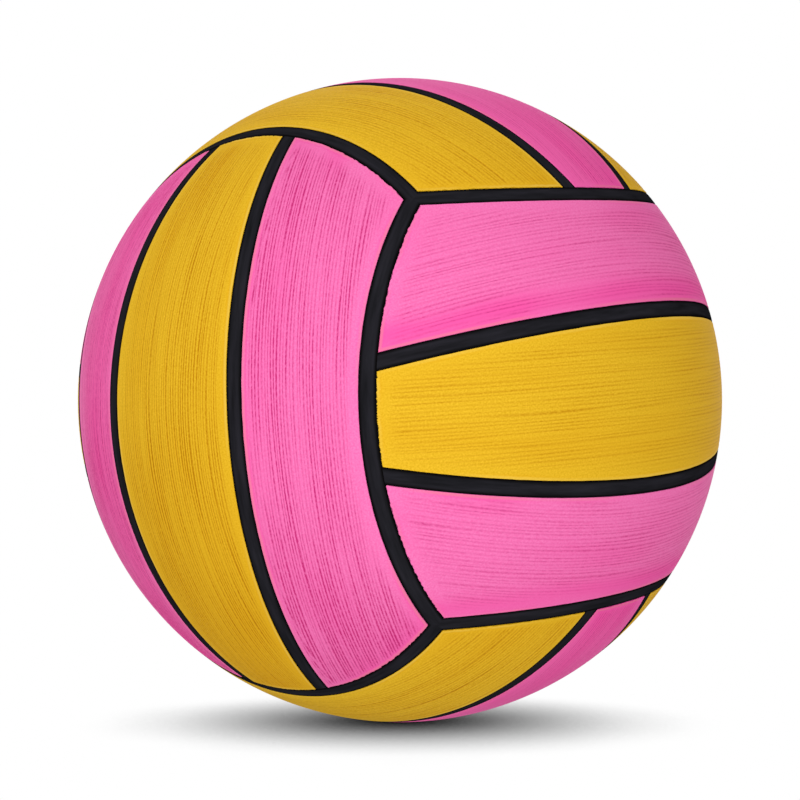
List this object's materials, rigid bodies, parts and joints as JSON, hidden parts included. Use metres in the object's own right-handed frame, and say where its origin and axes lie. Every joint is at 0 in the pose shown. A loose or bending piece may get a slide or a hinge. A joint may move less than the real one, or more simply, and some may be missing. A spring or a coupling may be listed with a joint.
{
  "type": "water polo ball",
  "caption": "Inflatable water polo ball: grippy pink and yellow rubber panels in strips, black seams, wound carcass, bladder and needle valve.",
  "frame": {"origin": "centre of the ball", "axes": "+Z out of the middle of the top face, -Y out of the front face, +X out of the right face; the valve is on the left face and points along -X"},
  "size_m": [0.2199, 0.22, 0.22],
  "materials": {
    "pink_rubber": "grained matte",
    "yellow_rubber": "grained matte",
    "seam_rubber": "satin",
    "carcass_rubber": "matte",
    "nylon_thread": "thread",
    "butyl_rubber": "smooth",
    "valve_rubber": "satin",
    "plug_rubber": "matte"
  },
  "bodies": {
    "ball": {"panel_right_middle": "yellow_rubber", "panel_right_upper": "pink_rubber", "inner_seam_right_upper": "seam_rubber", "panel_right_lower": "pink_rubber", "inner_seam_right_lower": "seam_rubber", "edge_seam_right_top": "seam_rubber", "edge_seam_right_bottom": "seam_rubber", "panel_left_middle": "yellow_rubber", "panel_left_upper": "pink_rubber", "inner_seam_left_upper": "seam_rubber", "panel_left_lower": "pink_rubber", "inner_seam_left_lower": "seam_rubber", "edge_seam_left_top": "seam_rubber", "edge_seam_left_bottom": "seam_rubber", "panel_front_middle": "yellow_rubber", "panel_front_right": "pink_rubber", "inner_seam_front_right": "seam_rubber", "panel_front_left": "pink_rubber", "inner_seam_front_left": "seam_rubber", "edge_seam_front_right": "seam_rubber", "edge_seam_front_left": "seam_rubber", "panel_back_middle": "yellow_rubber", "panel_back_right": "pink_rubber", "inner_seam_back_right": "seam_rubber", "panel_back_left": "pink_rubber", "inner_seam_back_left": "seam_rubber", "edge_seam_back_right": "seam_rubber", "edge_seam_back_left": "seam_rubber", "panel_top_middle": "pink_rubber", "panel_top_back": "yellow_rubber", "inner_seam_top_back": "seam_rubber", "panel_top_front": "yellow_rubber", "inner_seam_top_front": "seam_rubber", "edge_seam_top_back": "seam_rubber", "edge_seam_top_front": "seam_rubber", "panel_bottom_middle": "pink_rubber", "panel_bottom_back": "yellow_rubber", "inner_seam_bottom_back": "seam_rubber", "panel_bottom_front": "yellow_rubber", "inner_seam_bottom_front": "seam_rubber", "edge_seam_bottom_back": "seam_rubber", "edge_seam_bottom_front": "seam_rubber", "carcass": "carcass_rubber", "winding": "nylon_thread", "bladder": "butyl_rubber", "valve_housing": "valve_rubber"},
    "valve_plug": {"valve_core": "plug_rubber"}
  },
  "joints": [
    {"name": "valve_core_pull", "type": "slide", "parent": "ball", "child": "valve_plug", "axis": [-1, 0, 0], "range_m": [0, 0.03]}
  ]
}
